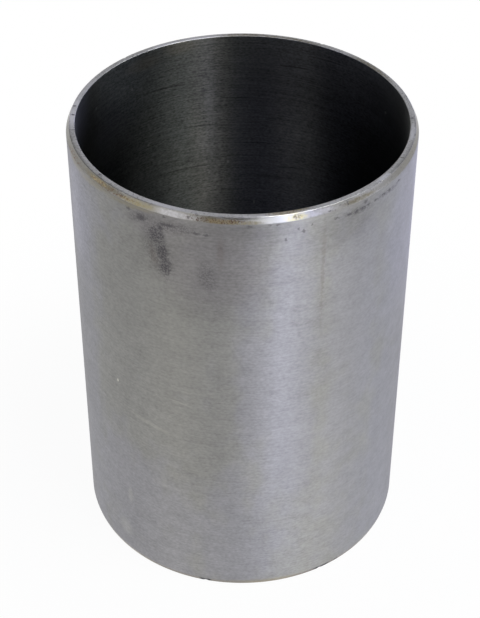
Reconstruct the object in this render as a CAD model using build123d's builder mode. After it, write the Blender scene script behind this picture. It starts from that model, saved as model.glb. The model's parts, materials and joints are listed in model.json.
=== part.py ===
"""Dry cylinder liner: a thin cast-iron sleeve, ground outside and honed inside.

The sleeve is one turned ring with no flange and no ports.  It stands on its
plain lower end, with the origin at the centre of that end and +Z up the bore.
The lower end has a slow taper that leads the sleeve into the cylinder block.
The upper end, under the cylinder head, has a short steep chamfer outside.
Both ends of the bore have a small edge break.  Sizes are in millimetres.
"""

import os
from math import radians, tan

from build123d import *

# Fitted diameters and overall length
BORE_DIAMETER = 88.9
WALL_THICKNESS = 2.5
LINER_LENGTH = 131.5

# Upper outside chamfer, with its angle measured from the liner's axis
TOP_CHAMFER_LENGTH = 1.4
TOP_CHAMFER_ANGLE = 30.0

# Lower outside lead-in taper, with its angle measured from the liner's axis
LEAD_IN_LENGTH = 1.2
LEAD_IN_ANGLE = 15.0

# Edge break at each end of the bore, the same along and across the axis
BORE_EDGE_BREAK = 0.25

# Rounding where the outside tapers run into the ground outside diameter
TAPER_BLEND_RADIUS = 0.6

bore_radius = BORE_DIAMETER / 2
outer_radius = bore_radius + WALL_THICKNESS
top_face_radius = outer_radius - TOP_CHAMFER_LENGTH * tan(radians(TOP_CHAMFER_ANGLE))
bottom_face_radius = outer_radius - LEAD_IN_LENGTH * tan(radians(LEAD_IN_ANGLE))
ground_start = LEAD_IN_LENGTH
ground_end = LINER_LENGTH - TOP_CHAMFER_LENGTH

with BuildPart() as cylinder_liner:
    # Half section of the wall, to the +X side of the axis
    with BuildSketch(Plane.XZ) as wall_section:
        with BuildLine():
            # Outside: bottom face, lead-in, ground diameter, chamfer, top face
            outside = Polyline(
                (bore_radius + BORE_EDGE_BREAK, 0),
                (bottom_face_radius, 0),
                (outer_radius, ground_start),
                (outer_radius, ground_end),
                (top_face_radius, LINER_LENGTH),
                (bore_radius + BORE_EDGE_BREAK, LINER_LENGTH),
            )
            # Inside: upper edge break, bore wall, lower edge break
            Polyline(
                outside @ 1,
                (bore_radius, LINER_LENGTH - BORE_EDGE_BREAK),
                (bore_radius, BORE_EDGE_BREAK),
                outside @ 0,
            )
        make_face()
        ground_corners = wall_section.vertices().group_by(Axis.X)[-1]
        fillet(ground_corners, radius=TAPER_BLEND_RADIUS)
    revolve(axis=Axis.Z)

cylinder_liner.part.label = "cylinder_liner"

os.makedirs("parts", exist_ok=True)
export_step(cylinder_liner.part, "parts/cylinder_liner.step")
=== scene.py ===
"""Studio model of a dry cylinder liner: a ground, chamfered and honed cast-iron sleeve.

The model is in metres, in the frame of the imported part: the liner stands on the
origin with +Z up its bore, and the camera looks at it from -Y.  Places on the
liner are given by their angle round the axis, in degrees from the front (-Y)
towards +X, and by their height or their way along the turned profile, in mm.
"""

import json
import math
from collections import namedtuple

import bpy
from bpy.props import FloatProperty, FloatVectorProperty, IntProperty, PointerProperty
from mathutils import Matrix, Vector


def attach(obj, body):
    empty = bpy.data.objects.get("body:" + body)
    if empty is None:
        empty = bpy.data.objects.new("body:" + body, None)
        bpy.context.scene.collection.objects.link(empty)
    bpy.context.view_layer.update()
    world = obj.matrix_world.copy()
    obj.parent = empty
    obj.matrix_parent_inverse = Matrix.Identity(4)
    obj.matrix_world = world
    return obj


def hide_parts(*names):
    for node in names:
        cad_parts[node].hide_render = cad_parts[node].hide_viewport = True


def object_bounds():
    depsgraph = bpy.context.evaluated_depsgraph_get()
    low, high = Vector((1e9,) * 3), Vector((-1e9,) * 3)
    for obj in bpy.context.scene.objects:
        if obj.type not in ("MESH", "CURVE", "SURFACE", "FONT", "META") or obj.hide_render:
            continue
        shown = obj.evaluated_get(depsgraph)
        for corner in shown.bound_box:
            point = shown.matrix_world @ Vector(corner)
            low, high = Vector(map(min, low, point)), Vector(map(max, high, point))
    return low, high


bl_info = {
    "name": "Cylinder Liner",
    "version": (1, 0, 0),
    "blender": (4, 5, 0),
    "location": "3D View > Sidebar > Liner",
    "description": "Builds a ground and honed cylinder liner and its studio",
    "category": "Object",
}

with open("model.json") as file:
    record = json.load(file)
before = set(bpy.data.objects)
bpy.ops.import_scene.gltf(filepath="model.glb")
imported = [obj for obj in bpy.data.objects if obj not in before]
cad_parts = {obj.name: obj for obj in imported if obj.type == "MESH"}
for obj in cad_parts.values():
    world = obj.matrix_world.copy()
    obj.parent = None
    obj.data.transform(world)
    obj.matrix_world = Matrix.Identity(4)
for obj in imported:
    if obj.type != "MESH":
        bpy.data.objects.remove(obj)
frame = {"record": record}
CAD_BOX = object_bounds()

MM = 0.001
MM_PER_METRE = 1000.0

# Fitted sizes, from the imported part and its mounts
LINER_NODE = "cylinder_liner"
MOUNTS = {mount["name"]: mount for mount in frame["record"]["mounts"]}
OUTER_RADIUS = MOUNTS["outside_diameter"]["dims"]["r_mm"] * MM
BORE_RADIUS = MOUNTS["bore"]["dims"]["r_mm"] * MM
LINER_LENGTH = CAD_BOX[1].z - CAD_BOX[0].z
EDGE_BREAK = (LINER_LENGTH - MOUNTS["bore"]["dims"]["length_mm"] * MM) / 2


# ---------------------------------------------------------------- settings


def colour_setting(name, description, default):
    """A colour that the user may change, in linear light."""
    return FloatVectorProperty(
        name=name, description=description, default=default,
        subtype="COLOR", size=3, min=0.0, max=1.0,
    )


def length_setting(name, description, default):
    """A length that the user may change."""
    return FloatProperty(
        name=name, description=description, default=default,
        min=0.0, subtype="DISTANCE", unit="LENGTH", precision=5,
    )


class LinerSizes(bpy.types.PropertyGroup):
    """Sizes of the turned sleeve"""

    outer_radius: length_setting("Outer radius", "Ground outside radius", OUTER_RADIUS)
    bore_radius: length_setting("Bore radius", "Honed bore radius", BORE_RADIUS)
    length: length_setting("Length", "End face to end face", LINER_LENGTH)
    edge_break: length_setting("Bore edge break", "45 degree break at each end of the bore", EDGE_BREAK)
    chamfer_length: length_setting("Chamfer length", "Upper outside chamfer, along the axis", 1.8 * MM)
    chamfer_angle: FloatProperty(
        name="Chamfer angle", description="Upper outside chamfer, from the axis",
        default=math.radians(25.5), subtype="ANGLE", unit="ROTATION",
    )
    lead_length: length_setting("Lead-in length", "Lower outside taper, along the axis", 1.2 * MM)
    lead_angle: FloatProperty(
        name="Lead-in angle", description="Lower outside taper, from the axis",
        default=math.radians(15.0), subtype="ANGLE", unit="ROTATION",
    )
    corner_radius: length_setting("Corner rounding", "Rounding left on every turned corner", 0.14 * MM)
    segments: IntProperty(
        name="Segments", description="Flats round the sleeve", default=360, min=64, max=720,
    )


class LinerFinish(bpy.types.PropertyGroup):
    """Colours of the metal and of what has marked it"""

    ground: colour_setting("Ground iron", "Ground outside of the sleeve", (0.428, 0.424, 0.444))
    oily: colour_setting("Oily iron", "Ground iron under a thin film of oil", (0.420, 0.416, 0.402))
    turned: colour_setting("Turned iron", "Chamfer and lead-in", (0.405, 0.395, 0.380))
    faced: colour_setting("Faced iron", "Faced ends", (0.520, 0.516, 0.520))
    honed: colour_setting("Honed iron", "Dark honed bore", (0.108, 0.112, 0.102))
    # Painted reflection: the warm colour of the light band in the bore
    warm_reflection: colour_setting("Warm shade", "Warm strip in the bore", (0.122, 0.112, 0.084))
    blued: colour_setting("Blue shade", "Bluish side of the bore", (0.100, 0.104, 0.128))
    soot: colour_setting("Soot", "Darker cloud in the bore", (0.060, 0.066, 0.074))
    # Painted reflection: the bluish tint on the wall near both side edges
    reflection_blue: colour_setting("Cool iron", "Ground iron with a bluish tint", (0.452, 0.450, 0.522))
    haze: colour_setting("Haze", "Faint purple haze on the ground wall", (0.410, 0.392, 0.408))
    grime: colour_setting("Grime", "Dark specks and smudges", (0.105, 0.098, 0.112))
    # Bright metal for scrapes and a dot, and the painted highlight on the chamfer
    bright: colour_setting("Bright metal", "Freshly rubbed metal", (0.960, 0.950, 0.850))
    yellow: colour_setting("Pale yellow metal", "Bright rub with a gold tint", (0.900, 0.830, 0.480))
    # Cool tint, also painted highlights on the end face
    lavender: colour_setting("Cool tint", "Clean metal with a cool tint", (0.700, 0.695, 0.740))
    # Pale metal, also painted highlights on the chamfer
    pale: colour_setting("Pale metal", "Rubbed metal with a cool tint", (0.770, 0.760, 0.810))
    straw: colour_setting("Straw tint", "Pale yellow heat tint", (0.430, 0.385, 0.265))
    gold: colour_setting("Gold tint", "Spotted gold heat tint", (0.385, 0.330, 0.200))
    rust: colour_setting("Rust", "Red-brown rust spots", (0.130, 0.060, 0.035))
    umber: colour_setting("Umber film", "Brown film on the lead-in", (0.225, 0.200, 0.172))
    cream: colour_setting("Cream tint", "Paler film on the lead-in", (0.340, 0.305, 0.240))
    # Nearly black: black marks on the lower rim, soot, and painted shade in the bore
    black: colour_setting("Black", "Chips and soot, nearly black", (0.020, 0.020, 0.024))
    olive: colour_setting("Olive tint", "Old oil on the chamfer", (0.185, 0.162, 0.100))
    brown: colour_setting("Brown tint", "Light rust", (0.430, 0.345, 0.230))
    # Dull film, also painted shade on the chamfer at the two sides
    dull: colour_setting("Dull film", "Dull film on the chamfer", (0.140, 0.134, 0.115))


class LinerStudio(bpy.types.PropertyGroup):
    """Light and floor round the liner"""

    floor: colour_setting("Floor", "Pale floor", (0.90, 0.90, 0.90))
    floor_white: FloatProperty(
        name="Floor white", description="How far the floor is lifted to white where it is seen",
        default=0.95, min=0.0, max=1.0, subtype="FACTOR",
    )
    ceiling: FloatProperty(
        name="Ceiling", description="Light from above; the skyline is 1", default=0.07, min=0.0, max=1.0,
    )
    lamp_power: FloatProperty(
        name="Lamp power", description="Brightness of all the lamps together", default=1.0, min=0.0,
    )
    focal_length: FloatProperty(
        name="Focal length", description="Lens of the camera", default=91.59,
        min=1.0, subtype="DISTANCE_CAMERA",
    )


# ------------------------------------------------------- edit-mode helpers


def axis_distance(point):
    """Distance of a point from the liner's axis."""
    return math.hypot(point.x, point.y)


def edit(obj):
    """Makes one object active and opens it in edit mode with nothing selected."""
    bpy.ops.object.select_all(action="DESELECT")
    obj.select_set(True)
    bpy.context.view_layer.objects.active = obj
    bpy.ops.object.mode_set(mode="EDIT")
    bpy.ops.mesh.select_all(action="DESELECT")


def choose(obj, wanted, kind="VERT"):
    """Selects, in edit mode, the vertices or faces that answer to the test."""
    bpy.ops.mesh.select_mode(type=kind)
    bpy.ops.mesh.select_all(action="DESELECT")
    bpy.ops.object.mode_set(mode="OBJECT")
    parts = obj.data.vertices if kind == "VERT" else obj.data.polygons
    for part in parts:
        part.select = wanted(part)
    bpy.ops.object.mode_set(mode="EDIT")


def cut_ring(height):
    """Cuts a ring of edges through both walls of the mesh in edit mode."""
    bpy.ops.mesh.select_all(action="SELECT")
    bpy.ops.mesh.bisect(plane_co=(0, 0, height), plane_no=(0, 0, 1))


def scale_ring(obj, height, radius, new_radius):
    """Draws one ring of vertices in or out to a new radius."""
    near = 0.01 * MM

    def on_ring(vertex):
        return abs(vertex.co.z - height) < near and abs(axis_distance(vertex.co) - radius) < near

    choose(obj, on_ring)
    factor = new_radius / radius
    bpy.ops.transform.resize(value=(factor, factor, 1), center_override=(0, 0, height))


def apply_modifier(obj, kind, **settings):
    """Adds a modifier, sets it and applies it."""
    modifier = obj.modifiers.new(kind.title(), kind)
    for name, value in settings.items():
        setattr(modifier, name, value)
    bpy.ops.object.modifier_apply(modifier=modifier.name)


# ------------------------------------------------------------- the sleeve


# A face belongs to an end when its normal points along the axis by more than this
END_NORMAL = 0.9

# The sleeve's material slots, in the order in which they are filled
GROUND, TURNED, HONED = range(3)


def hollow_blank(sizes):
    """Adds a solid bar of the outside size and bores it through."""
    bpy.ops.object.select_all(action="DESELECT")
    bpy.ops.mesh.primitive_cylinder_add(
        vertices=sizes.segments, radius=sizes.outer_radius, depth=sizes.length,
        end_fill_type="NGON", location=(0, 0, sizes.length / 2),
    )
    sleeve = bpy.context.object
    sleeve.name = sleeve.data.name = "liner_sleeve"
    bpy.ops.object.transform_apply(location=True, rotation=True, scale=True)
    edit(sleeve)
    choose(sleeve, lambda face: abs(face.normal.z) > END_NORMAL, "FACE")
    bpy.ops.mesh.inset(thickness=sizes.outer_radius - sizes.bore_radius, use_even_offset=True)
    bpy.ops.mesh.bridge_edge_loops()
    return sleeve


def turn_ends(sleeve, sizes):
    """Turns the chamfer, the lead-in and the two edge breaks of the bore."""
    top = sizes.length
    lead_inset = sizes.lead_length * math.tan(sizes.lead_angle)
    chamfer_inset = sizes.chamfer_length * math.tan(sizes.chamfer_angle)
    rings = [
        sizes.edge_break,
        sizes.lead_length,
        top - sizes.chamfer_length,
        top - sizes.edge_break,
    ]
    # Rings up the walls, so that their faces don't grow too long
    wall_spans = 12
    wall_start = 4 * MM
    step = (top - 2 * wall_start) / wall_spans
    rings += [wall_start + step * index for index in range(wall_spans + 1)]
    for height in sorted(rings):
        cut_ring(height)
    scale_ring(sleeve, 0, sizes.outer_radius, sizes.outer_radius - lead_inset)
    scale_ring(sleeve, top, sizes.outer_radius, sizes.outer_radius - chamfer_inset)
    for height in (0, top):
        scale_ring(sleeve, height, sizes.bore_radius, sizes.bore_radius + sizes.edge_break)
    # The cut rings that cross the tapers follow them
    low_cut = sizes.outer_radius - lead_inset * (1 - sizes.edge_break / sizes.lead_length)
    high_cut = sizes.outer_radius - chamfer_inset * (1 - sizes.edge_break / sizes.chamfer_length)
    scale_ring(sleeve, sizes.edge_break, sizes.outer_radius, low_cut)
    scale_ring(sleeve, top - sizes.edge_break, sizes.outer_radius, high_cut)
    bpy.ops.mesh.select_all(action="SELECT")
    merge_distance = 0.001 * MM
    bpy.ops.mesh.remove_doubles(threshold=merge_distance)
    bpy.ops.mesh.normals_make_consistent(inside=False)
    bpy.ops.object.mode_set(mode="OBJECT")


def round_corners(sleeve, sizes):
    """Breaks every turned corner, but not the joins between the flats of the walls."""
    sharpest_join = math.radians(10)
    apply_modifier(
        sleeve, "BEVEL", width=sizes.corner_radius, segments=3,
        limit_method="ANGLE", angle_limit=sharpest_join, use_clamp_overlap=True,
    )


def smooth_walls(sleeve):
    """Evens the shading of the long walls, which keep their crisp corners."""
    bpy.ops.object.shade_smooth()
    apply_modifier(sleeve, "WEIGHTED_NORMAL", weight=100)


# A small dent left by handling: its angle in degrees, then its height, its distance
# from the axis, how far it spreads and how deep it is, all four in mm
Nick = namedtuple("Nick", "angle height radius spread depth")

# The finer patch of mesh under a nick: its reach, as a multiple of the nick's
# spread, and the cuts across each of its faces
PATCH_REACH = 1.6
PATCH_CUTS = 5

NICKS = (
    Nick(-91.5, 131.5, 45.90, 0.60, 0.13),
    Nick(-91.5, 131.5, 45.20, 0.60, 0.13),
    Nick(-82.0, 131.5, 45.30, 0.45, 0.08),
    Nick(-40.0, 131.1, 46.55, 0.60, 0.10),
    Nick(11.7, 131.5, 45.00, 0.60, 0.12),
    Nick(27.5, 130.4, 46.85, 0.60, 0.10),
    Nick(49.4, 131.5, 46.10, 0.70, 0.14),
    Nick(54.0, 131.5, 46.05, 0.60, 0.12),
    Nick(89.8, 131.5, 45.20, 0.60, 0.12),
    Nick(150.5, 131.5, 46.10, 0.70, 0.14),
    Nick(-134.0, 131.5, 46.10, 0.70, 0.12),
    Nick(-172.0, 131.5, 44.80, 0.50, 0.10),
    Nick(-13.0, 0.2, 46.75, 0.90, 0.20),
    Nick(29.9, 0.3, 46.75, 0.90, 0.20),
)


def nick_edges(sleeve):
    """Dents the ends: a finer patch of mesh, then one point pushed in with its neighbours."""
    for nick in NICKS:
        turn = math.radians(nick.angle)
        outwards = Vector((math.sin(turn), -math.cos(turn), 0))
        place = outwards * nick.radius * MM + Vector((0, 0, nick.height * MM))
        near = PATCH_REACH * nick.spread * MM
        edit(sleeve)
        choose(sleeve, lambda face: (face.center - place).length < near, "FACE")
        bpy.ops.mesh.subdivide(number_cuts=PATCH_CUTS)
        bpy.ops.object.mode_set(mode="OBJECT")
        closest = min(sleeve.data.vertices, key=lambda vertex: (vertex.co - place).length).index
        edit(sleeve)
        choose(sleeve, lambda vertex: vertex.index == closest)
        inwards = Vector((0, 0, -1)) if nick.height > nick.radius else -outwards
        bpy.ops.transform.translate(
            value=inwards * nick.depth * MM, use_proportional_edit=True,
            proportional_edit_falloff="SMOOTH", proportional_size=nick.spread * MM,
        )
        bpy.ops.object.mode_set(mode="OBJECT")


def surface_of(face, sizes):
    """The material slot of a face: ground outside, turned ends or honed bore."""
    height = face.center.z
    slack = sizes.corner_radius
    if axis_distance(face.center) < (sizes.outer_radius + sizes.bore_radius) / 2:
        low, high = sizes.edge_break, sizes.length - sizes.edge_break
        wall = HONED
    else:
        low, high = sizes.lead_length, sizes.length - sizes.chamfer_length
        wall = GROUND
    return wall if low - slack < height < high + slack else TURNED


def unwrap_sleeve(sleeve, sizes):
    """Unrolls the sleeve: across is the angle, up is the way along its profile."""
    margin = 0.004  # Share of the map left free at each rim
    inner, outer = sizes.bore_radius, sizes.outer_radius
    wall = outer - inner
    whole = 2 * sizes.length + 2 * wall
    mesh = sleeve.data
    layer = mesh.uv_layers.get("OFBake") or mesh.uv_layers.new(name="OFBake")
    mesh.uv_layers.active = layer

    def along(point, normal):
        """Distance along the profile, up the outside, over the top and down the bore."""
        radius = axis_distance(point)
        if normal.z < -END_NORMAL:
            return whole - (outer - radius)
        if normal.z > END_NORMAL or radius < (inner + outer) / 2:
            return sizes.length + (outer - radius) + (sizes.length - point.z)
        return point.z + (outer - radius)

    for face in mesh.polygons:
        middle_angle = math.atan2(face.center.x, -face.center.y)
        for loop_index in face.loop_indices:
            point = mesh.vertices[mesh.loops[loop_index].vertex_index].co
            angle = math.atan2(point.x, -point.y)
            # A face on the seam at the back keeps to its own side of the map
            if angle - middle_angle > math.pi:
                angle -= 2 * math.pi
            if middle_angle - angle > math.pi:
                angle += 2 * math.pi
            across = 0.5 + angle / (2 * math.pi)
            up = along(point, face.normal) / whole
            layer.data[loop_index].uv = (
                margin + across * (1 - 2 * margin),
                margin + up * (1 - 2 * margin),
            )


class LINER_OT_sleeve(bpy.types.Operator):
    """Turn the sleeve from a bar and put it in place of the plain solid"""

    bl_idname = "liner.sleeve"
    bl_label = "Turn Sleeve"

    def execute(self, context):
        sizes = context.scene.liner_sizes
        sleeve = hollow_blank(sizes)
        turn_ends(sleeve, sizes)
        round_corners(sleeve, sizes)
        nick_edges(sleeve)
        smooth_walls(sleeve)
        for make_finish in (ground_iron, turned_iron, honed_iron):
            sleeve.data.materials.append(make_finish(context.scene.liner_finish))
        for face in sleeve.data.polygons:
            face.material_index = surface_of(face, sizes)
        unwrap_sleeve(sleeve, sizes)
        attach(sleeve, "root")
        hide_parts(LINER_NODE)
        return {"FINISHED"}


# ---------------------------------------------------------- node helpers


# Depth of the fine relief in the metal
RELIEF_DEPTH = 0.004 * MM


class Shader:
    """Short calls that wire up the nodes of one material, or of the world's tree."""

    def __init__(self, name=None, tree=None):
        if tree is None:
            self.material = bpy.data.materials.new(name)
            self.material.use_nodes = True
            tree = self.material.node_tree
        self.tree = tree
        self.surface = tree.nodes.get("Principled BSDF")

    def node(self, kind, **settings):
        """A new node with its settings."""
        made = self.tree.nodes.new("ShaderNode" + kind)
        for name, value in settings.items():
            setattr(made, name, value)
        return made

    def feed(self, socket, value):
        """Links a socket or sets its value."""
        if isinstance(value, bpy.types.NodeSocket):
            self.tree.links.new(value, socket)
        elif value is not None:
            socket.default_value = value

    def math(self, operation, first, second=None, third=None):
        """One sum on numbers."""
        made = self.node("Math", operation=operation)
        for socket, value in zip(made.inputs, (first, second, third)):
            self.feed(socket, value)
        return made.outputs[0]

    def vector_math(self, operation, first, second=None, scale=None):
        """One sum on vectors."""
        made = self.node("VectorMath", operation=operation)
        self.feed(made.inputs[0], first)
        self.feed(made.inputs[1], second)
        if scale is not None:
            self.feed(made.inputs["Scale"], scale)
        return made.outputs["Value"] if operation == "LENGTH" else made.outputs["Vector"]

    def remap(self, value, low, high, to_low=0.0, to_high=1.0):
        """Eases a number from one range to another."""
        made = self.node("MapRange", interpolation_type="SMOOTHSTEP")
        for socket, number in zip(made.inputs, (value, low, high, to_low, to_high)):
            self.feed(socket, number)
        return made.outputs[0]

    def noise(self, vector, scale, detail=2.0, roughness=0.5):
        """Cloudy noise about 0.5; scale is clouds to the mm, along each axis or all three."""
        if not isinstance(scale, tuple):
            scale = (scale, scale, scale)
        made = self.node("TexNoise")
        self.feed(made.inputs["Vector"], self.vector_math("MULTIPLY", vector, scale))
        self.feed(made.inputs["Scale"], 1.0)
        self.feed(made.inputs["Detail"], detail)
        self.feed(made.inputs["Roughness"], roughness)
        return made.outputs["Fac"]

    def mix(self, factor, first, second):
        """Mixes two colours."""
        made = self.node("Mix", data_type="RGBA")
        self.feed(made.inputs["Factor"], factor)
        self.feed(made.inputs["A"], opaque(first))
        self.feed(made.inputs["B"], opaque(second))
        return made.outputs["Result"]

    def shade(self, colour, *parts):
        """Lightens and darkens a colour by noises; each part is a noise and how far it counts."""
        factor = 1.0 - sum(amount for _, amount in parts) / 2
        for value, amount in parts:
            factor = self.math("MULTIPLY_ADD", value, amount, factor)
        return self.vector_math("SCALE", colour, scale=factor)

    def faded(self, noise, depth):
        """A noise drawn in towards its middle; a depth of 1 leaves it whole."""
        return self.math("MULTIPLY_ADD", self.math("SUBTRACT", noise, 0.5), depth, 0.5)

    def ragged(self, place, scale, reach):
        """A place shifted here and there by up to half the reach, in mm."""
        made = self.node("TexNoise")
        self.feed(made.inputs["Vector"], place)
        self.feed(made.inputs["Scale"], scale)
        self.feed(made.inputs["Detail"], 3.0)
        shift = self.vector_math("SUBTRACT", made.outputs["Color"], (0.5, 0.5, 0.5))
        return self.vector_math("ADD", place, self.vector_math("SCALE", shift, scale=reach))

    def marked(self, place, marks, softness):
        """1 inside any of the marks on an unrolled wall, easing to 0 at their rims."""
        nearest = None
        for mark in marks:
            mapping = self.node("Mapping", vector_type="TEXTURE")
            self.feed(mapping.inputs["Vector"], place)
            mapping.inputs["Location"].default_value = (mark.angle * ARC_PER_DEGREE, mark.height, 0)
            mapping.inputs["Rotation"].default_value = (0, 0, math.radians(mark.lean))
            mapping.inputs["Scale"].default_value = (mark.half_width, mark.half_height, 1)
            reach = self.vector_math("LENGTH", mapping.outputs[0])
            nearest = reach if nearest is None else self.math("MINIMUM", nearest, reach)
        return self.remap(nearest, 1.0 + softness / 2, 1.0 - softness / 2)

    def tinted(self, colour, place, marks, tint, strength, softness=1.0, texture=None):
        """Lays a tint over a colour inside the marks; a texture makes it patchy."""
        cover = self.math("MULTIPLY", self.marked(place, marks, softness), strength)
        if texture is not None:
            cover = self.math("MULTIPLY", cover, texture)
        return self.mix(cover, colour, tuple(tint))

    def levelled(self, colour, place, *groups):
        """Lightens or darkens a colour inside groups of marks: marks, share and softness."""
        level = 1.0
        for marks, share, softness in groups:
            level = self.math("MULTIPLY_ADD", self.marked(place, marks, softness), share, level)
        return self.vector_math("SCALE", colour, scale=level)

    def metal(self, colour, roughness):
        """Bare metal of a colour and roughness."""
        self.feed(self.surface.inputs["Base Color"], colour)
        self.feed(self.surface.inputs["Metallic"], 1.0)
        self.feed(self.surface.inputs["Roughness"], roughness)

    def cut_round_the_axis(self, spread):
        """Draws the gloss out across cuts that run round the axis."""
        quarter_turn = 0.25
        self.feed(self.surface.inputs["Anisotropic"], spread)
        self.feed(self.surface.inputs["Anisotropic Rotation"], quarter_turn)
        tangent = self.node("Tangent", direction_type="RADIAL", axis="Z")
        self.feed(self.surface.inputs["Tangent"], tangent.outputs[0])

    def relief(self, first, second):
        """Fine relief from two noises together."""
        made = self.node("Bump")
        self.feed(made.inputs["Strength"], 1.0)
        self.feed(made.inputs["Distance"], RELIEF_DEPTH)
        self.feed(made.inputs["Height"], self.math("ADD", first, second))
        self.feed(self.surface.inputs["Normal"], made.outputs[0])


def opaque(colour):
    """A three-part colour with full alpha; sockets and others pass through."""
    if isinstance(colour, bpy.types.NodeSocket) or len(colour) == 4:
        return colour
    return (*colour, 1.0)


# ------------------------------------------------- places on the sleeve


Places = namedtuple("Places", "point outside inside profile height")

# How far one degree reaches round the ground outside, in mm
ARC_PER_DEGREE = math.radians(OUTER_RADIUS * MM_PER_METRE)


def sleeve_places(shader):
    """Where a point of the sleeve is, in mm.

    point is its plain place and height is its height; outside and inside are the
    walls unrolled from the front and from the back; profile is unrolled too, but
    climbs the outside wall and then runs inwards over the upper end face.
    """
    position = shader.node("TexCoord").outputs["Object"]
    point = shader.vector_math("SCALE", position, scale=MM_PER_METRE)
    split = shader.node("SeparateXYZ")
    shader.feed(split.inputs[0], point)
    x, y, z = split.outputs
    radius = shader.vector_math("LENGTH", shader.vector_math("MULTIPLY", point, (1, 1, 0)))
    inset = shader.math("SUBTRACT", OUTER_RADIUS * MM_PER_METRE, radius)
    from_front = shader.math("ARCTAN2", x, shader.math("MULTIPLY", y, -1))
    from_back = shader.math("ARCTAN2", x, y)

    def unrolled(angle, height):
        """The wall laid flat: round the sleeve, then up."""
        joined = shader.node("CombineXYZ")
        shader.feed(joined.inputs[0], shader.math("MULTIPLY", angle, OUTER_RADIUS * MM_PER_METRE))
        shader.feed(joined.inputs[1], height)
        return joined.outputs[0]

    along = shader.math("ADD", z, inset)
    return Places(
        point=point,
        outside=unrolled(from_front, z),
        inside=unrolled(from_back, z),
        profile=unrolled(from_front, along),
        height=z,
    )


# -------------------------------------------------------------- the marks


# An oval mark: its angle in degrees, its height (on the ends, its way along the
# profile) in mm, its half width round the sleeve and half height in mm, and how
# far it leans to the left in degrees.  In the bore, angles start from the back.
Mark = namedtuple("Mark", "angle height half_width half_height lean", defaults=(0.0,))

# Marks on the ground outside.  First where a film of oil lies, and where bluer bare iron shows; the
# strip at 16.5 degrees and the patches at the two sides are partly a painted reflection
OIL_PATCHES = (
    Mark(-32.0, 84.0, 19.0, 44.0),
    Mark(-10.0, 80.0, 10.0, 40.0),
    Mark(17.0, 20.0, 6.0, 26.0),
)
WIPED_AND_REFLECTION_PATCHES = (
    Mark(16.5, 72.0, 6.0, 66.0),
    Mark(72.0, 76.0, 15.0, 84.0),
    Mark(-78.0, 74.0, 16.0, 84.0),
    Mark(-6.0, 18.0, 9.0, 26.0),
    Mark(2.0, 85.0, 5.0, 26.0),
    Mark(39.0, 88.0, 8.0, 34.0),
    Mark(-47.0, 10.0, 34.0, 32.0),
)
# Darker and lighter patches, strong and then faint: partly random tone, partly painted shade and painted
# light; the faint ones near 5 and 20 degrees move the highlight band
DIM_PATCHES_AND_SHADE = (
    Mark(-8.0, 112.0, 14.0, 13.0),
    Mark(-22.0, 119.0, 10.0, 9.0),
    Mark(33.0, 124.0, 11.0, 6.0),
    Mark(-27.0, 128.5, 9.0, 3.4),
    Mark(0.0, 128.0, 12.0, 3.6),
    Mark(13.0, 4.0, 11.0, 26.0),
)
LIGHTER_PATCHES_AND_PAINTED_LIGHT = (
    Mark(-30.0, 4.0, 46.0, 34.0),
    Mark(-72.0, 112.0, 5.0, 16.0),
)
FAINT_DIM_AND_SHADE = (
    Mark(21.5, 86.0, 6.0, 34.0),
    Mark(19.5, 44.0, 6.0, 20.0),
    Mark(-1.0, 125.0, 12.0, 5.0),
)
FAINT_LIGHTER_AND_HIGHLIGHT = (
    Mark(5.5, 97.0, 8.0, 20.0),
    Mark(4.0, 52.0, 6.0, 20.0),
    Mark(-42.0, 58.0, 15.0, 30.0),
    Mark(76.0, 112.0, 12.0, 28.0),
    Mark(70.0, 118.0, 9.0, 14.0),
    Mark(40.0, 60.0, 9.0, 30.0),
)
# Where the grinding shows less
SMOOTH_PATCHES = (
    Mark(58.0, 60.0, 31.0, 90.0),
)
# Grimy smudges, strong and then faint
SMUDGES = (
    Mark(-26.9, 123.0, 2.2, 2.6, 4),
    Mark(-25.2, 118.2, 1.5, 2.8, 8),
    Mark(-24.4, 114.2, 1.5, 3.1, 4),
)
FAINT_SMUDGES = (
    Mark(-27.0, 118.5, 3.4, 8.5, 17),
    Mark(-22.0, 126.6, 6.5, 1.6, 4),
    Mark(-33.0, 126.8, 3.5, 1.4, 14),
    Mark(-11.0, 113.2, 2.2, 4.2, 8),
    Mark(38.0, 127.2, 4.5, 0.8, -2),
    Mark(52.0, 127.6, 5.0, 0.7),
)
# Grime in small pits and dents
DARK_SPECKS = (
    Mark(-37.4, 128.1, 0.60, 0.45),
    Mark(-32.6, 126.8, 1.30, 0.80, 24),
    Mark(-23.2, 127.0, 2.20, 0.50, 6),
    Mark(-25.6, 125.6, 0.60, 0.60),
    Mark(-24.4, 129.2, 0.35, 0.35),
    Mark(-14.0, 126.2, 1.10, 0.40),
    Mark(-11.0, 126.0, 0.80, 0.30),
    Mark(2.0, 129.3, 0.90, 0.22),
    Mark(8.3, 129.4, 0.40, 0.30),
    Mark(10.6, 129.4, 0.50, 0.30),
    Mark(13.2, 124.5, 0.30, 0.45),
    Mark(17.0, 127.2, 0.25, 0.25),
    Mark(18.8, 126.3, 0.30, 0.60),
    Mark(21.5, 127.8, 0.25, 0.25),
    Mark(29.9, 127.6, 0.70, 0.35, 6),
    Mark(34.6, 127.3, 0.90, 0.35, -4),
    Mark(37.3, 127.2, 0.75, 0.40, 8),
    Mark(39.7, 127.4, 0.90, 0.45, -6),
    Mark(40.9, 129.0, 0.65, 0.60),
    Mark(42.4, 127.6, 0.60, 0.30),
    Mark(45.7, 127.7, 0.70, 0.30, -5),
    Mark(49.5, 127.8, 0.80, 0.32, 4),
    Mark(52.5, 127.9, 0.60, 0.25),
    Mark(57.7, 128.0, 1.10, 0.32, 3),
)
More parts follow.
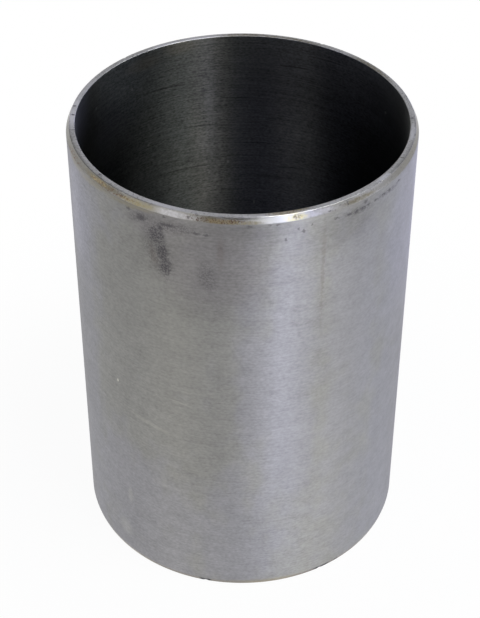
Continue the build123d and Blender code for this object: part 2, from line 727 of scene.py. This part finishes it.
# Light scrapes, and a dot of bright metal
LIGHT_SCRATCHES = (
    Mark(-21.0, 68.9, 2.60, 0.25, -10),
    Mark(-33.0, 57.3, 6.40, 0.60, -10),
    Mark(-43.5, 24.0, 1.00, 2.60),
    Mark(-47.0, 9.0, 2.60, 3.00),
)
BRIGHT_DOTS = (
    Mark(-46.7, 66.8, 0.32, 0.50),
)
# Straw stains beside the chamfer and above the lead-in
WALL_STAINS = (
    Mark(-52.0, 129.4, 8.0, 1.10, 8),
    Mark(-37.0, 129.3, 7.0, 0.80, 4),
    Mark(-66.0, 129.2, 5.0, 0.90),
    Mark(8.0, 1.2, 11.0, 0.60),
)
# A purple haze, a painted bluish reflection on the iron at the two sides, and thin rusty runs
WALL_HAZE = (
    Mark(-9.0, 117.0, 13.0, 14.0),
    Mark(-26.0, 126.5, 9.0, 5.0),
)
WALL_PAINTED_REFLECTION = (
    Mark(71.0, 114.0, 14.0, 26.0),
    Mark(-71.0, 115.0, 11.0, 18.0),
)
WALL_RUNS = (
    Mark(25.7, 112.0, 0.35, 15.0),
    Mark(-6.6, 121.0, 0.90, 4.4),
    Mark(-28.5, 116.5, 1.00, 3.0, 10),
)

# Marks on the ends.  First a painted highlight on the chamfer, then pale and cool rubs, partly painted
# highlights
PAINTED_CHAMFER_HIGHLIGHT = (
    Mark(11.4, 131.0, 6.8, 1.40),
)
PALE_RUBS_AND_HIGHLIGHTS = (
    Mark(-90.5, 133.1, 3.6, 0.90),
    Mark(-99.0, 133.1, 1.6, 0.70),
    Mark(-21.4, 130.9, 5.2, 1.10),
    Mark(21.5, 131.1, 6.0, 1.20),
)
COOL_RUBS_AND_HIGHLIGHTS = (
    Mark(-94.0, 133.1, 11.0, 0.95),
    Mark(-110.0, 133.2, 5.0, 0.90),
    Mark(81.0, 133.0, 4.0, 0.60),
    Mark(-24.0, 133.1, 6.0, 0.70),
    Mark(-168.0, 133.2, 8.5, 0.80),
    Mark(-152.0, 133.3, 6.0, 0.60),
    Mark(51.0, 132.9, 2.6, 0.50),
    Mark(12.0, 132.8, 8.0, 0.45),
)
# Heat tints and light rust
STRAW_TINTS = (
    Mark(-33.0, 130.9, 5.0, 1.10),
    Mark(2.5, 130.4, 2.8, 0.60),
    Mark(14.0, 133.2, 4.6, 0.95),
)
GOLD_SPOTS = (
    Mark(-4.0, 130.6, 4.8, 0.80),
    Mark(-36.0, 130.6, 5.0, 0.60),
    Mark(-51.0, 131.1, 3.4, 0.60),
    Mark(16.8, 131.1, 1.1, 0.80),
)
RUST_SPOTS = (
    Mark(-4.5, 130.8, 4.6, 0.90),
    Mark(-13.0, 131.0, 3.4, 1.00),
    Mark(-46.0, 130.9, 8.0, 0.90),
    Mark(-68.0, 130.6, 5.0, 1.00),
    Mark(15.0, 133.3, 6.0, 0.60),
)
OLIVE_TINTS = (
    Mark(-50.3, 131.2, 6.4, 1.00),
    Mark(38.9, 130.8, 4.6, 0.70),
    Mark(-9.8, 131.0, 2.2, 1.10),
    Mark(180.0, 133.3, 7.0, 0.60),
    Mark(-180.0, 133.3, 7.0, 0.60),
    Mark(18.0, 133.4, 2.6, 0.35),
    Mark(126.0, 133.3, 9.0, 0.60),
    Mark(163.0, 133.4, 12.0, 0.45),
)
BROWN_TINTS = (
    Mark(-6.5, 130.6, 3.6, 0.80),
)
YELLOW_RUBS = (
    Mark(16.4, 130.9, 2.8, 1.20),
)
# Dull oil films, partly painted shade on the chamfer at the two sides
DULL_FILMS_AND_SHADE = (
    Mark(66.0, 131.1, 20.0, 1.60),
    Mark(-66.0, 131.1, 24.0, 1.60),
    Mark(77.0, 131.1, 14.0, 1.60),
    Mark(-77.0, 131.1, 14.0, 1.60),
    Mark(64.7, 133.0, 0.30, 0.70),
    Mark(-1.0, 131.8, 4.0, 0.25),
)
# Black marks on the lower rim, specks on the upper end, and pale stains on the lead-in
LOWER_RIM_BLACK_MARKS = (
    Mark(-13.0, 0.7, 1.70, 0.90),
    Mark(30.5, 0.9, 2.60, 1.10),
    Mark(37.0, 0.5, 0.90, 0.45),
    Mark(66.0, 1.0, 2.20, 1.00),
    Mark(-6.0, 0.15, 4.50, 0.25),
)
END_SPECKS = (
    Mark(-97.2, 132.9, 0.40, 0.40),
    Mark(-91.5, 133.2, 0.30, 0.80),
    Mark(-82.0, 133.2, 0.25, 0.80),
    Mark(-52.5, 133.2, 0.50, 0.50),
    Mark(-40.0, 130.6, 0.35, 0.30),
    Mark(-16.5, 130.9, 0.45, 0.35),
    Mark(-2.0, 132.3, 5.70, 0.14),
    Mark(15.9, 131.1, 0.30, 0.25),
    Mark(34.0, 131.0, 0.25, 0.70),
    Mark(27.5, 130.5, 0.40, 0.25),
    Mark(89.8, 133.3, 0.45, 0.45),
)
FOOT_STAINS = (
    Mark(11.0, 0.7, 7.0, 0.90),
    Mark(-52.0, 0.4, 16.0, 0.40),
)

# Marks in the bore.  First dark scratches along the honing, and light rust near the rim
BORE_SCRATCHES = (
    Mark(-31.0, 117.7, 8.6, 0.28, -3),
    Mark(-14.2, 102.2, 7.8, 0.26, -4),
    Mark(-21.3, 88.1, 10.6, 0.26),
    Mark(19.8, 122.8, 4.5, 0.24, 4),
    Mark(19.0, 87.9, 4.5, 0.24, 7),
    Mark(-2.0, 111.0, 6.5, 0.20, -1),
    Mark(6.0, 95.5, 7.0, 0.20, 1),
    Mark(33.0, 127.5, 6.0, 0.24, 2),
)
BORE_STAINS = (
    Mark(-24.0, 129.9, 5.0, 2.00),
    Mark(-40.0, 128.0, 6.0, 2.00),
)
# Darker places: soot and dim patches, partly painted shade on the bore's right side and far left, and a
# bluish side
BORE_SOOT_AND_SHADE = (
    Mark(68.0, 125.0, 15.0, 9.0),
    Mark(54.0, 74.0, 13.0, 28.0),
    Mark(-90.0, 127.0, 14.0, 9.0),
)
BORE_COOL = (
    Mark(38.0, 80.0, 36.0, 75.0),
)
BORE_DIM_AND_SHADE = (
    Mark(-22.0, 129.0, 18.0, 9.0),
    Mark(20.0, 122.0, 18.0, 13.0),
    Mark(-74.0, 120.0, 14.0, 12.0),
    Mark(70.0, 110.0, 16.0, 16.0),
    Mark(-17.0, 122.0, 10.0, 16.0),
    Mark(-29.0, 85.0, 12.0, 16.0),
    Mark(-9.0, 72.0, 9.0, 6.0),
    Mark(90.0, 126.0, 12.0, 10.0),
)
# Lighter places: a warm strip, which is a painted reflection on the bore's light band, rubbed metal, and
# bright specks
BORE_WARM_REFLECTION = (
    Mark(-11.5, 100.0, 6.5, 55.0),
)
BORE_WORN = (
    Mark(-66.0, 108.0, 12.0, 7.0),
)
BORE_RUBS = (
    Mark(6.0, 108.0, 8.0, 24.0),
    Mark(-15.8, 96.5, 1.8, 2.4),
    Mark(-12.5, 110.0, 1.6, 5.0),
)
BORE_SPECKS = (
    Mark(-66.2, 123.1, 0.6, 0.5),
    Mark(-45.2, 121.4, 0.4, 0.4),
    Mark(-38.6, 100.4, 0.4, 0.4),
    Mark(-5.6, 88.7, 0.4, 0.5),
    Mark(4.8, 73.7, 0.3, 0.8),
    Mark(64.3, 121.2, 0.5, 0.4),
)


# ------------------------------------------------------------ the finishes


# How fine each texture is, in clouds to the mm along X, Y and Z, or along all three
GROUND_GRAIN = (1.05, 1.05, 1.75)
GRINDING_LINES = (0.06, 0.06, 2.2)
GROUND_MOTTLE = (0.24, 0.24, 0.30)
GROUND_CLOUDS = (0.035, 0.035, 0.022)
OIL_FILM = (0.17, 0.17, 0.13)
SMUDGE_SPECKS = (2.3, 2.3, 2.6)
TURNED_GRAIN = 1.4
TURNED_CLOUDS = 0.16
TURNED_PITS = 1.9
GOLD_DOTS = 2.2
RUST_DOTS = 2.7
HONED_GRAIN = (1.15, 1.15, 2.3)
HONING_LINES = (0.06, 0.06, 3.0)
HONED_MOTTLE = (0.30, 0.30, 0.45)
HONED_CLOUDS = 0.030
# The turning cuts, round the ends and along their profile
TURNING_CUTS = (0.10, 4.5, 0.0)

# Where the chamfer's worn edge starts and ends on the ground wall, in mm, and how
# strong it is
EDGE_WEAR_START = 129.5
EDGE_WEAR_END = 130.4
EDGE_WEAR = 0.45
# Where the upper end face starts along the profile, and half the width over which
# its finish takes over, in mm
FACE_START = 132.3
FACE_EASE = 0.15
# Where the brown film on the lead-in ends and where it is full, along the profile
# in mm, and how strong it is
FILM_END = 1.7
FILM_FULL = 1.1
FILM_STRENGTH = 0.85

PURE_BLACK = (0.0, 0.0, 0.0)


def ground_iron(finish):
    """Fine-ground outside: grain drawn round the axis, oil, smudges and scratches, with painted shade,
    light and reflections.
    """
    shader = Shader("ground_iron")
    at = sleeve_places(shader)
    grain = shader.noise(at.point, GROUND_GRAIN, detail=2.5)
    lines = shader.noise(at.point, GRINDING_LINES, detail=3)
    mottle = shader.noise(at.point, GROUND_MOTTLE, detail=3)
    film = shader.noise(at.point, OIL_FILM, detail=2)
    clouds = shader.noise(at.point, GROUND_CLOUDS, detail=2)

    # Oil and tints that lie under the grain, with painted bluish reflections
    oil = shader.marked(at.outside, OIL_PATCHES, 1.0)
    # Bluer bare iron, partly a painted reflection along the highlight band and at the two sides
    wiped_and_reflection = shader.marked(at.outside, WIPED_AND_REFLECTION_PATCHES, 1.0)
    sway = shader.math("SUBTRACT", wiped_and_reflection, oil)
    bare = shader.math("MULTIPLY_ADD", sway, 0.35, shader.math("ADD", film, clouds))
    bare = shader.remap(bare, 0.70, 1.30)
    colour = shader.mix(bare, tuple(finish.oily), tuple(finish.ground))
    colour = shader.tinted(colour, at.outside, WALL_HAZE, finish.haze, 0.60)
    # Painted reflection: a bluish tint near both side edges of the wall
    colour = shader.tinted(colour, at.outside, WALL_PAINTED_REFLECTION, finish.reflection_blue, 0.60, 1.2)

    # The grain, and where the wall is darker and lighter: partly painted shade and painted light
    smooth = shader.marked(at.outside, SMOOTH_PATCHES, 1.2)
    depth = shader.math("MULTIPLY_ADD", smooth, -0.40, 1.0)
    even, drawn = shader.faded(grain, depth), shader.faded(lines, depth)
    colour = shader.shade(colour, (even, 0.68), (drawn, 0.28), (mottle, 0.28), (clouds, 0.12))
    colour = shader.levelled(
        colour, at.outside,
        (DIM_PATCHES_AND_SHADE, -0.16, 1.6),
        (LIGHTER_PATCHES_AND_PAINTED_LIGHT, 0.14, 1.6),
        (FAINT_DIM_AND_SHADE, -0.09, 1.4),
        (FAINT_LIGHTER_AND_HIGHLIGHT, 0.07, 1.4),
    )

    # Speckled smudges
    rough_place = shader.ragged(at.outside, scale=0.9, reach=2.4)
    specks = shader.remap(shader.noise(at.point, SMUDGE_SPECKS, detail=2), 0.42, 0.58)
    strong = shader.math("MULTIPLY_ADD", specks, 0.48, 0.30)
    faint = shader.math("MULTIPLY_ADD", specks, 0.34, 0.09)
    colour = shader.tinted(colour, rough_place, FAINT_SMUDGES, finish.grime, faint)
    colour = shader.tinted(colour, rough_place, SMUDGES, finish.grime, strong, 0.9)

    # Specks, the worn edge beside the chamfer, stains, runs and scratches
    pitted = shader.ragged(at.outside, scale=1.8, reach=1.5)
    colour = shader.tinted(colour, pitted, DARK_SPECKS, finish.grime, 0.60, 1.1)
    edge = shader.math("ADD", at.height, mottle)
    worn = shader.remap(edge, EDGE_WEAR_START, EDGE_WEAR_END, to_high=EDGE_WEAR)
    colour = shader.mix(worn, colour, tuple(finish.turned))
    stained = shader.ragged(at.outside, scale=0.8, reach=1.6)
    colour = shader.tinted(colour, stained, WALL_STAINS, finish.straw, 0.42, 1.2)
    colour = shader.tinted(colour, rough_place, WALL_RUNS, finish.rust, 0.15, 1.4)
    scraped = shader.ragged(at.outside, scale=1.2, reach=0.9)
    colour = shader.tinted(colour, scraped, LIGHT_SCRATCHES, finish.bright, 0.14)
    colour = shader.tinted(colour, at.outside, BRIGHT_DOTS, finish.bright, 0.75)

    shader.metal(colour, shader.remap(grain, 0.2, 0.8, to_low=0.55, to_high=0.61))
    shader.cut_round_the_axis(spread=0.9)
    shader.relief(grain, lines)
    return shader.material


def turned_iron(finish):
    """Turned chamfer, lead-in and end faces: fine cuts under oil, heat and rust tints, with painted
    highlights and shade.
    """
    shader = Shader("turned_iron")
    at = sleeve_places(shader)
    cuts = shader.noise(at.profile, TURNING_CUTS, detail=3)
    grain = shader.noise(at.point, TURNED_GRAIN, detail=3)
    clouds = shader.noise(at.point, TURNED_CLOUDS, detail=3)
    pits = shader.remap(shader.noise(at.point, TURNED_PITS, detail=2), 0.57, 0.66, to_high=0.50)
    split = shader.node("SeparateXYZ")
    shader.feed(split.inputs[0], at.profile)
    along = split.outputs[1]
    face = shader.remap(along, FACE_START - FACE_EASE, FACE_START + FACE_EASE)
    colour = shader.mix(face, tuple(finish.turned), tuple(finish.faced))
    colour = shader.shade(colour, (cuts, 0.55), (grain, 0.40), (clouds, 0.45))
    colour = shader.mix(pits, colour, tuple(finish.grime))
    film = shader.remap(along, FILM_END, FILM_FULL, to_high=FILM_STRENGTH)
    colour = shader.mix(film, colour, tuple(finish.umber))

    # Even films and rubs, among them painted highlights and painted shade, then patchy ones, then dots
    # of gold and rust
    place = shader.ragged(at.profile, scale=1.1, reach=1.1)
    worn = shader.remap(grain, 0.30, 0.65, to_low=0.60, to_high=0.90)
    even_tints = (
        # Dull films: partly painted shade on the chamfer at the two sides
        (DULL_FILMS_AND_SHADE, finish.dull, 0.75),
        # Cool rubs, partly painted highlights on the end face
        (COOL_RUBS_AND_HIGHLIGHTS, finish.lavender, 0.60),
        # Painted highlight on the chamfer
        (PAINTED_CHAMFER_HIGHLIGHT, finish.bright, 0.88),
        (FOOT_STAINS, finish.cream, 0.80),
        # Pale rubs, partly painted highlights on the chamfer
        (PALE_RUBS_AND_HIGHLIGHTS, finish.pale, worn),
    )
    for marks, tint, strength in even_tints:
        colour = shader.tinted(colour, place, marks, tint, strength)
    patchy = shader.remap(grain, 0.32, 0.60, to_low=0.45)
    gold_dots = shader.remap(shader.noise(at.point, GOLD_DOTS, detail=2), 0.40, 0.54)
    rust_dots = shader.remap(shader.noise(at.point, RUST_DOTS, detail=2), 0.50, 0.60)
    broken_tints = (
        (YELLOW_RUBS, finish.yellow, 1.00, 1.0, patchy),
        (OLIVE_TINTS, finish.olive, 0.80, 1.0, patchy),
        (BROWN_TINTS, finish.brown, 0.85, 1.0, patchy),
        (STRAW_TINTS, finish.straw, 0.85, 1.0, patchy),
        (END_SPECKS, finish.grime, 0.80, 0.8, patchy),
        (GOLD_SPOTS, finish.gold, 0.80, 1.0, gold_dots),
        (RUST_SPOTS, finish.rust, 0.80, 1.0, rust_dots),
    )
    for marks, tint, strength, softness, texture in broken_tints:
        colour = shader.tinted(colour, place, marks, tint, strength, softness, texture)
    rim_mark_place = shader.ragged(at.profile, scale=1.6, reach=0.5)
    colour = shader.tinted(colour, rim_mark_place, LOWER_RIM_BLACK_MARKS, finish.black, 1.0, 0.5)

    # The end faces are rougher than the chamfer and the lead-in
    uneven = shader.remap(clouds, 0.3, 0.7, to_low=0.30, to_high=0.38)
    shader.metal(colour, shader.math("MULTIPLY_ADD", face, 0.16, uneven))
    shader.relief(cuts, grain)
    return shader.material


def honed_iron(finish):
    """Dark honed bore: fine lines round the wall, sooty clouds, scratches and stains, with painted shade
    and a painted warm reflection.
    """
    shader = Shader("honed_iron")
    at = sleeve_places(shader)
    grain = shader.noise(at.point, HONED_GRAIN, detail=2.5)
    lines = shader.noise(at.point, HONING_LINES, detail=4, roughness=0.6)
    mottle = shader.noise(at.point, HONED_MOTTLE, detail=3)
    clouds = shader.noise(at.point, HONED_CLOUDS, detail=2)
    sooty = shader.remap(clouds, 0.36, 0.64, to_high=0.4)
    colour = shader.mix(sooty, tuple(finish.honed), tuple(finish.soot))
    colour = shader.tinted(colour, at.inside, BORE_COOL, finish.blued, 0.80, 0.8)
    # Painted reflection: a warm tint on the bore's light band
    colour = shader.tinted(colour, at.inside, BORE_WARM_REFLECTION, finish.warm_reflection, 0.40, 1.2)
    colour = shader.shade(colour, (grain, 1.9), (lines, 1.3), (mottle, 0.45))

    place = shader.ragged(at.inside, scale=0.5, reach=0.8)
    tints = (
        (BORE_STAINS, finish.brown, 0.08, 1.0),
        # Soot and dim patches, partly painted shade on the bore's right side and far left
        (BORE_SOOT_AND_SHADE, finish.black, 0.60, 1.2),
        (BORE_DIM_AND_SHADE, finish.black, 0.24, 1.2),
        (BORE_WORN, finish.turned, 0.16, 1.4),
        (BORE_RUBS, finish.turned, 0.05, 1.2),
        (BORE_SPECKS, finish.turned, 0.25, 0.8),
        (BORE_SCRATCHES, PURE_BLACK, 0.36, 0.9),
    )
    for marks, tint, strength, softness in tints:
        colour = shader.tinted(colour, place, marks, tint, strength, softness)

    shader.metal(colour, shader.remap(grain, 0.2, 0.8, to_low=0.47, to_high=0.53))
    shader.cut_round_the_axis(spread=1.0)
    shader.relief(grain, lines)
    return shader.material


# ----------------------------------------------------------------- studio


# A soft lamp: where it hangs as seen from the liner, in degrees, its width and
# height in metres, its power in watts and its colour
Softbox = namedtuple("Softbox", "name azimuth elevation width height power colour")

LAMP_DISTANCE = 1.2  # From the middle of the liner, in metres
SOFTBOXES = (
    Softbox("key_softbox", 53, 64, 0.46, 0.40, 6.80, (1.00, 1.00, 0.92)),
    Softbox("window_strip", 27, 32, 0.16, 0.85, 1.90, (0.58, 0.63, 1.00)),
    Softbox("top_softbox", 0, 89, 1.20, 1.20, 3.70, (0.75, 0.78, 1.00)),
    Softbox("side_softbox", 85, 60, 0.60, 0.50, 1.45, (0.86, 0.91, 1.00)),
    Softbox("side_strip", 95, 14, 0.80, 0.40, 1.20, (0.67, 0.74, 1.00)),
    Softbox("front_softbox", -42, 35, 0.50, 0.50, 0.78, (1.00, 0.95, 0.74)),
    Softbox("left_strip", -110, 12, 0.70, 0.40, 0.30, (0.82, 0.90, 1.00)),
    Softbox("right_strip", 145, 10, 0.70, 0.35, 1.20, (0.50, 0.55, 1.00)),
    Softbox("back_softbox", 180, 42, 0.90, 0.60, 0.85, (1.00, 1.00, 0.98)),
)

# Where the world stops being white and where its ceiling starts, in degrees up
SKYLINE_TOP = 4
CEILING_START = 22

# The floor's width, and how far from the axis the liner's shadow stays whole, in metres
FLOOR_SIZE = 4.0
SHADOW_REACH = 0.06

# The camera's place in mm, and how far it looks down and leans, in degrees
CAMERA_PLACE = (-0.55374, -359.07271, 352.45894)
CAMERA_DOWN = 38.5553
CAMERA_LEAN = 0.1271
SENSOR_WIDTH = 36.0  # In mm
NEAREST_SEEN = 10 * MM


def around(azimuth, elevation, distance, centre):
    """A point seen from the centre; azimuth 0 is the front, -Y, and 90 is +X."""
    turn, rise = math.radians(azimuth), math.radians(elevation)
    away = Vector((
        math.sin(turn) * math.cos(rise),
        -math.cos(turn) * math.cos(rise),
        math.sin(rise),
    ))
    return centre + away * distance


def add_softbox(softbox, power_share, centre):
    """An area lamp at its place, turned towards the liner."""
    data = bpy.data.lights.new(softbox.name, "AREA")
    data.shape = "RECTANGLE"
    data.size = softbox.width
    data.size_y = softbox.height
    data.energy = softbox.power * power_share
    data.color = softbox.colour
    lamp = bpy.data.objects.new(softbox.name, data)
    bpy.context.collection.objects.link(lamp)
    lamp.location = around(softbox.azimuth, softbox.elevation, LAMP_DISTANCE, centre)
    lamp.rotation_euler = (centre - lamp.location).to_track_quat("-Z", "Y").to_euler()


def light_path_mask(shader):
    """1 for rays from the camera and for those in gloss or glass, else 0."""
    path = shader.node("LightPath")
    glossy = shader.math("MAXIMUM", path.outputs["Is Glossy Ray"], path.outputs["Is Transmission Ray"])
    return shader.math("MAXIMUM", path.outputs["Is Camera Ray"], glossy)


def set_world(studio):
    """White up to the skyline, easing to a darker ceiling."""
    skyline_top = math.sin(math.radians(SKYLINE_TOP))
    ceiling_start = math.sin(math.radians(CEILING_START))
    world = bpy.data.worlds.new("studio_world")
    world.use_nodes = True
    shader = Shader(tree=world.node_tree)
    split = shader.node("SeparateXYZ")
    shader.feed(split.inputs[0], shader.node("TexCoord").outputs["Generated"])
    level = shader.remap(split.outputs[2], skyline_top, ceiling_start, 1.0, studio.ceiling)
    background = world.node_tree.nodes["Background"]
    background.inputs["Color"].default_value = (1, 1, 1, 1)
    shader.feed(background.inputs["Strength"], level)
    bpy.context.scene.world = world


def add_floor(studio):
    """A wide pale floor that looks white but keeps the liner's shadow."""
    bpy.ops.object.select_all(action="DESELECT")
    bpy.ops.mesh.primitive_plane_add(size=FLOOR_SIZE)
    floor = bpy.context.object
    floor.name = "studio_floor"
    shader = Shader("pale_floor")
    shader.feed(shader.surface.inputs["Base Color"], opaque(tuple(studio.floor)))
    shader.surface.inputs["Roughness"].default_value = 0.9
    shader.surface.inputs["Specular IOR Level"].default_value = 0.0
    glow = shader.node("Emission")
    radius = shader.vector_math("LENGTH", shader.node("TexCoord").outputs["Object"])
    outside = shader.math("GREATER_THAN", radius, BORE_RADIUS)
    share = shader.math("MULTIPLY", light_path_mask(shader), outside)
    white = shader.remap(radius, SHADOW_REACH, 3 * SHADOW_REACH, studio.floor_white, 1.0)
    mixed = shader.node("MixShader")
    shader.feed(mixed.inputs[0], shader.math("MULTIPLY", share, white))
    shader.feed(mixed.inputs[1], shader.surface.outputs[0])
    shader.feed(mixed.inputs[2], glow.outputs[0])
    shader.feed(shader.tree.nodes["Material Output"].inputs["Surface"], mixed.outputs[0])
    floor.data.materials.append(shader.material)


def add_camera(studio):
    """A long lens that looks down at the liner from the front."""
    place = Vector(CAMERA_PLACE) * MM
    pitch = math.radians(90 - CAMERA_DOWN)
    roll = math.radians(CAMERA_LEAN)
    data = bpy.data.cameras.new("studio_camera")
    data.lens = studio.focal_length
    data.sensor_width = SENSOR_WIDTH
    data.clip_start = NEAREST_SEEN
    camera = bpy.data.objects.new("studio_camera", data)
    bpy.context.collection.objects.link(camera)
    turned = Matrix.Rotation(pitch, 4, "X") @ Matrix.Rotation(roll, 4, "Z")
    camera.matrix_world = Matrix.Translation(place) @ turned
    bpy.context.scene.camera = camera


class LINER_OT_stage(bpy.types.Operator):
    """Set the floor, the soft studio light and the camera"""

    bl_idname = "liner.stage"
    bl_label = "Set Stage"

    def execute(self, context):
        studio = context.scene.liner_studio
        centre = Vector((0, 0, context.scene.liner_sizes.length / 2))
        set_world(studio)
        add_floor(studio)
        for softbox in SOFTBOXES:
            add_softbox(softbox, studio.lamp_power, centre)
        add_camera(studio)
        context.scene.view_settings.view_transform = "Standard"
        return {"FINISHED"}


# ------------------------------------------------------------------ panel


class LINER_PT_builder(bpy.types.Panel):
    """Builds the liner and its studio"""

    bl_idname = "LINER_PT_builder"
    bl_label = "Cylinder Liner"
    bl_space_type = "VIEW_3D"
    bl_region_type = "UI"
    bl_category = "Liner"

    def draw(self, context):
        layout = self.layout
        for group in (context.scene.liner_sizes, context.scene.liner_finish, context.scene.liner_studio):
            box = layout.box()
            for name in group.__annotations__:
                box.prop(group, name)
        layout.operator(LINER_OT_sleeve.bl_idname)
        layout.operator(LINER_OT_stage.bl_idname)


CLASSES = (
    LinerSizes,
    LinerFinish,
    LinerStudio,
    LINER_OT_sleeve,
    LINER_OT_stage,
    LINER_PT_builder,
)


def register():
    """Registers the classes and hangs the settings on the scene."""
    for cls in CLASSES:
        bpy.utils.register_class(cls)
    bpy.types.Scene.liner_sizes = PointerProperty(type=LinerSizes)
    bpy.types.Scene.liner_finish = PointerProperty(type=LinerFinish)
    bpy.types.Scene.liner_studio = PointerProperty(type=LinerStudio)


def unregister():
    """Takes the settings and the classes away again."""
    del bpy.types.Scene.liner_studio
    del bpy.types.Scene.liner_finish
    del bpy.types.Scene.liner_sizes
    for cls in reversed(CLASSES):
        bpy.utils.unregister_class(cls)


def main():
    """Builds the liner, then the stage."""
    register()
    bpy.ops.liner.sleeve()
    bpy.ops.liner.stage()


if __name__ == "__main__":
    main()
